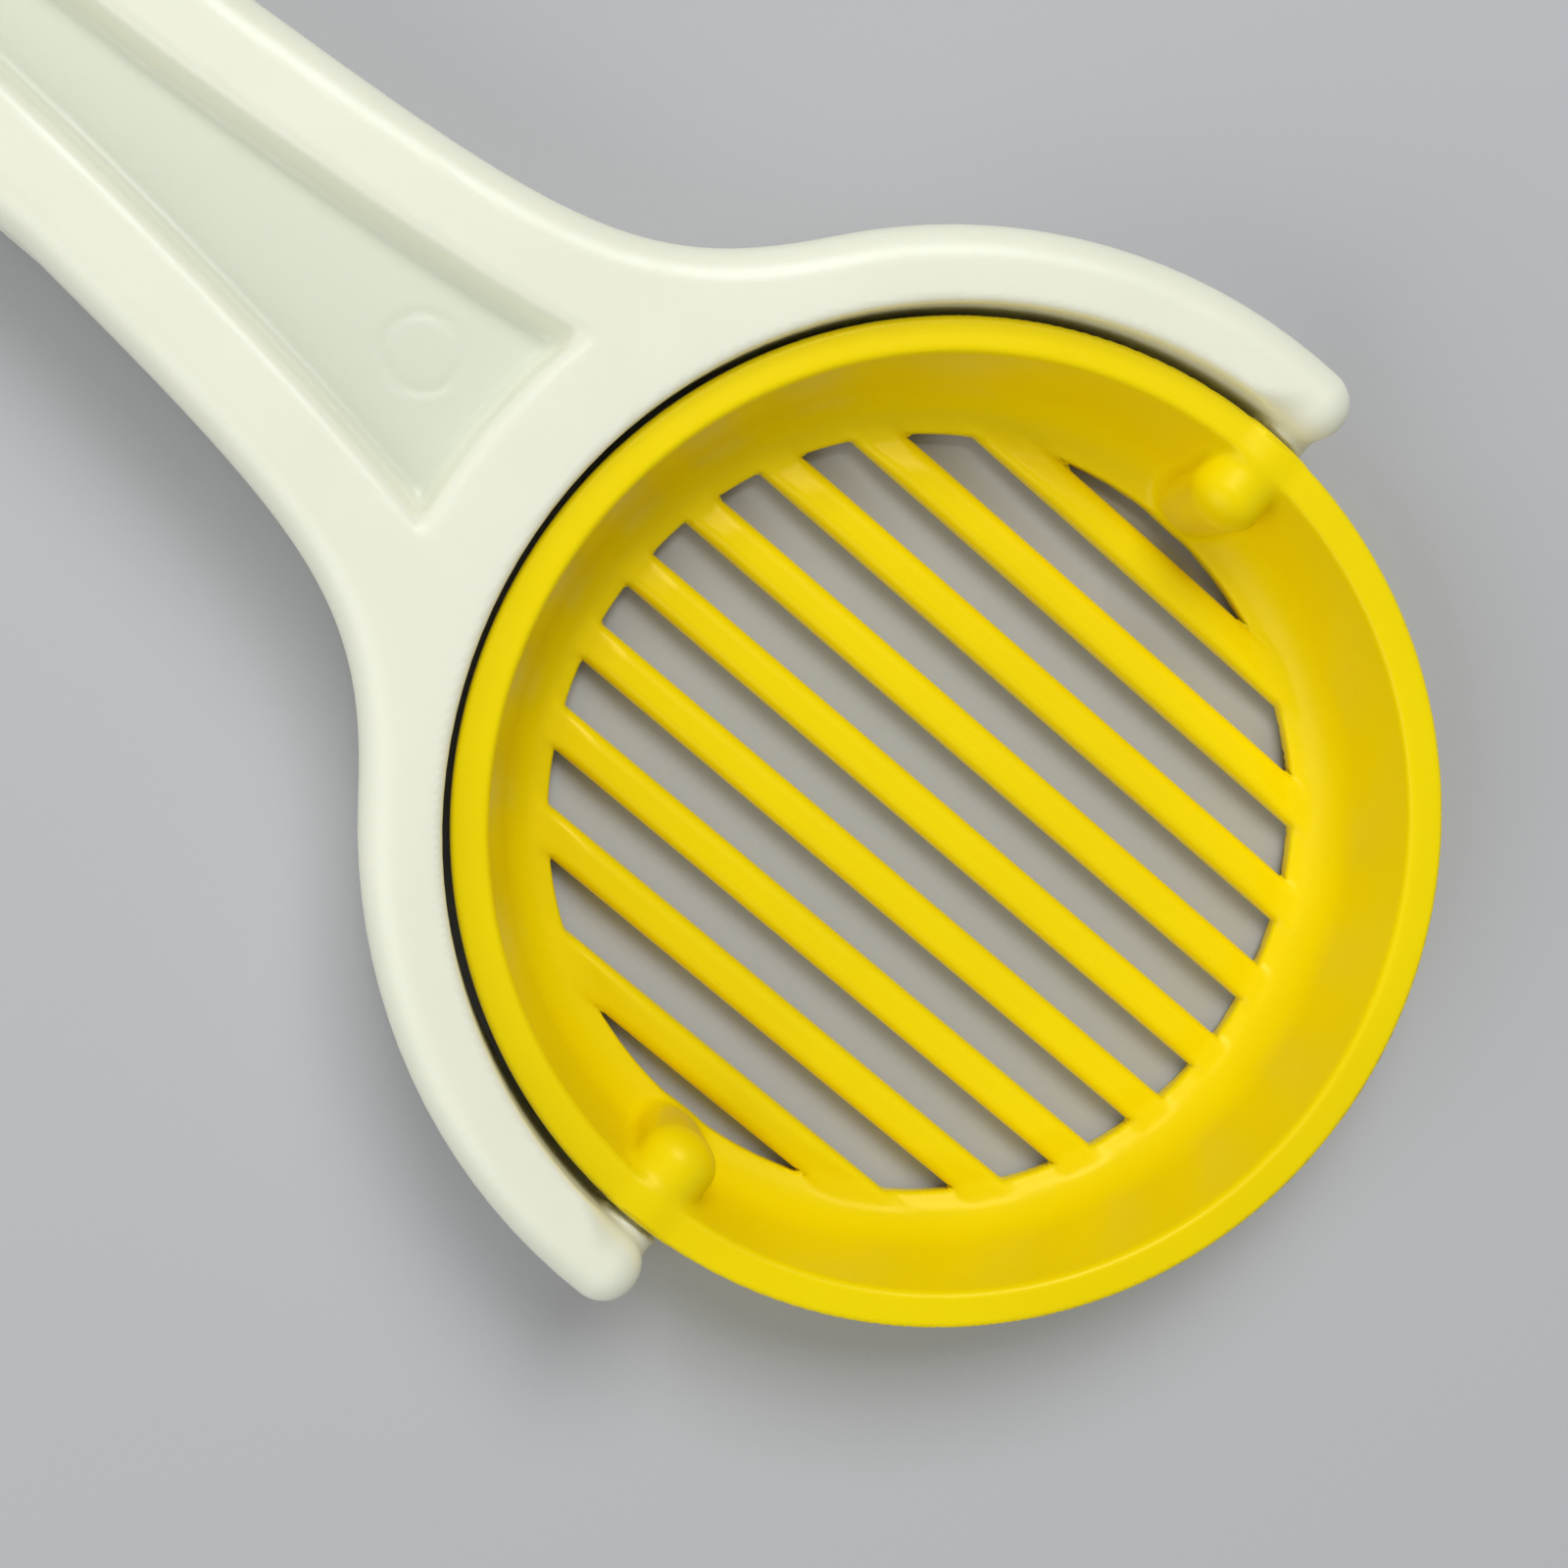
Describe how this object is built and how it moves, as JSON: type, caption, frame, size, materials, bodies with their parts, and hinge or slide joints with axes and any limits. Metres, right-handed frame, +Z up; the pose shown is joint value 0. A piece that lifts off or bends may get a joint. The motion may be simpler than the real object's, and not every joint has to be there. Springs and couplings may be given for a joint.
{
  "type": "egg slicer",
  "caption": "Hinged egg slicer tongs: a slotted dish swivels in one forked arm and a toothed ring strung with steel wires sits in the other.",
  "frame": {"origin": "centre of the footprint of the tongs opened flat, on the surface they lie on", "axes": "+X runs from the wire arm to the cradle arm, +Y along the hinge pin, +Z up and out of the two inner sides"},
  "size_m": [0.3744, 0.0804, 0.0282],
  "materials": {
    "ivory_plastic": "moulded satin, slightly translucent ivory",
    "yellow_plastic": "moulded satin, egg-yolk yellow",
    "wire_steel": "drawn stainless wire",
    "hinge_steel": "turned stainless steel"
  },
  "bodies": {
    "cradle_arm": {"cradle_handle": "ivory_plastic", "hinge_pin": "hinge_steel", "pin_cap": "hinge_steel"},
    "cradle": {"egg_cradle": "yellow_plastic"},
    "wire_arm": {"wire_handle": "ivory_plastic", "wire_frame": "yellow_plastic", "cutting_wire_1": "wire_steel", "cutting_wire_2": "wire_steel", "cutting_wire_3": "wire_steel", "cutting_wire_4": "wire_steel", "cutting_wire_5": "wire_steel", "cutting_wire_6": "wire_steel", "cutting_wire_7": "wire_steel", "cutting_wire_8": "wire_steel"}
  },
  "joints": [
    {"name": "tongs_hinge", "type": "hinge", "parent": "cradle_arm", "child": "wire_arm", "pos_m": [0.00299, 0, 0.0147], "axis": [0, 1, 0], "range_deg": [0, 180]},
    {"name": "cradle_swivel", "type": "hinge", "parent": "cradle_arm", "child": "cradle", "pos_m": [0.15299, 0, 0.0096], "axis": [0, 1, 0], "range_deg": [-8, 8]}
  ]
}
